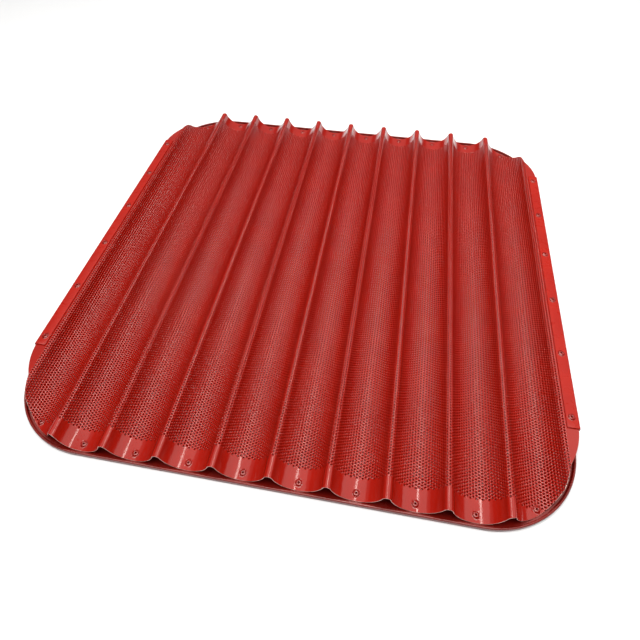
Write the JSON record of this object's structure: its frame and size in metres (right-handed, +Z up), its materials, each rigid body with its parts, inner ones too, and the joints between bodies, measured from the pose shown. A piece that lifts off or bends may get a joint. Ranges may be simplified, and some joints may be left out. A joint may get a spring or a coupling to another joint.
{
  "type": "baguette tray",
  "caption": "Corrugated perforated baking tray with side-by-side rounded channels, riveted into a round-cornered frame with side rails, coated red.",
  "frame": {"origin": "middle of the underside that the tray stands on", "axes": "+Z up, +Y along the channels, +X across them"},
  "size_m": [0.75, 0.8, 0.0331],
  "materials": {
    "sheet": "gloss",
    "frame": "gloss",
    "rail": "gloss",
    "rivet": "gloss"
  },
  "bodies": {
    "root": {"corrugated_sheet": "sheet", "frame": "frame", "side_rail_left": "rail", "side_rail_right": "rail", "rivet_front_1": "rivet", "rivet_front_2": "rivet", "rivet_front_3": "rivet", "rivet_front_4": "rivet", "rivet_front_5": "rivet", "rivet_front_6": "rivet", "rivet_front_7": "rivet", "rivet_front_8": "rivet", "rivet_front_9": "rivet", "rivet_front_10": "rivet", "rivet_back_1": "rivet", "rivet_back_2": "rivet", "rivet_back_3": "rivet", "rivet_back_4": "rivet", "rivet_back_5": "rivet", "rivet_back_6": "rivet", "rivet_back_7": "rivet", "rivet_back_8": "rivet", "rivet_back_9": "rivet", "rivet_back_10": "rivet", "rivet_left_1": "rivet", "rivet_left_2": "rivet", "rivet_left_3": "rivet", "rivet_left_4": "rivet", "rivet_left_5": "rivet", "rivet_left_6": "rivet", "rivet_right_1": "rivet", "rivet_right_2": "rivet", "rivet_right_3": "rivet", "rivet_right_4": "rivet", "rivet_right_5": "rivet", "rivet_right_6": "rivet"}
  },
  "joints": []
}
